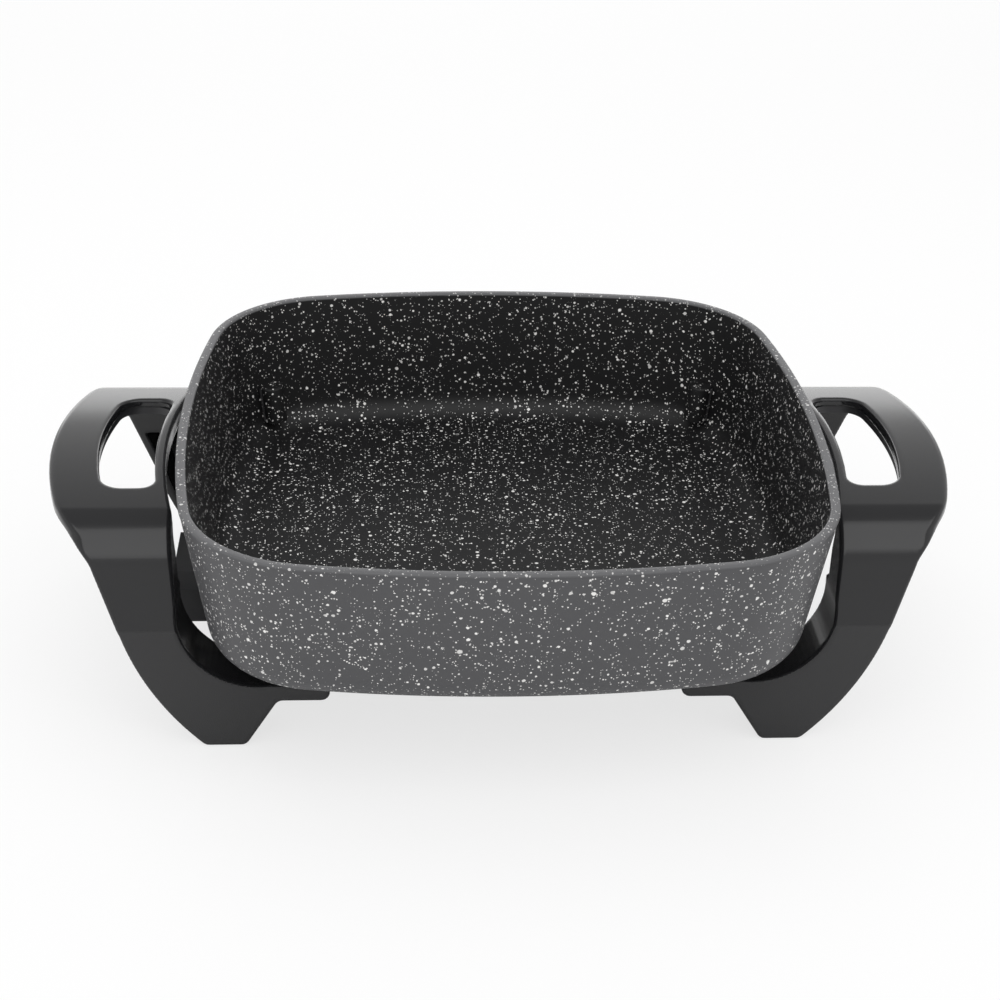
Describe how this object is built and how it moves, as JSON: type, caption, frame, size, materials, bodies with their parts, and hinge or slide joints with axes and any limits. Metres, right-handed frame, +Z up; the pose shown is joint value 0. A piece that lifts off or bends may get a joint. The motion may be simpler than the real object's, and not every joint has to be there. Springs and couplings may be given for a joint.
{
  "type": "electric skillet",
  "caption": "Deep rounded-square electric skillet with speckled coating, two black arch handles that form the legs, and a heat-control socket under the left edge.",
  "frame": {"origin": "centre of the pan on the table, level with the undersides of the feet", "axes": "+Z up, +X to the right across both handles with the socket on the left, +Y to the back"},
  "size_m": [0.42, 0.2994, 0.124],
  "materials": {
    "coated_pan": "speckled non-stick coating on cast aluminium, satin",
    "handle_moulding": "glossy black phenolic, fine matte texture on the leg faces",
    "matte_moulding": "dull black heat-resistant moulding",
    "sheath_steel": "heat-dulled sheath",
    "pin_steel": "plated, bright",
    "ceramic_bead": "unglazed steatite",
    "bare_aluminium": "drawn tube, satin",
    "plated_steel": "zinc plated",
    "screw_steel": "plated screw"
  },
  "bodies": {
    "root": {"pan": "coated_pan", "heating_element": "sheath_steel", "terminal_pin_front": "pin_steel", "terminal_pin_rear": "pin_steel", "terminal_insulator_front": "ceramic_bead", "terminal_insulator_rear": "ceramic_bead", "probe_sleeve": "bare_aluminium", "socket_shroud": "matte_moulding", "shroud_bracket": "plated_steel", "earth_clip_front": "plated_steel", "earth_clip_rear": "plated_steel", "left_handle": "handle_moulding", "right_handle": "handle_moulding", "left_grip_liner": "matte_moulding", "right_grip_liner": "matte_moulding", "leg_spacer_front_left": "plated_steel", "leg_spacer_front_right": "plated_steel", "leg_spacer_rear_left": "plated_steel", "leg_spacer_rear_right": "plated_steel", "leg_washers": "plated_steel", "leg_screws": "screw_steel", "bracket_screws": "screw_steel", "shroud_screws": "screw_steel", "liner_screws_left": "screw_steel", "liner_screws_right": "screw_steel"}
  },
  "joints": []
}
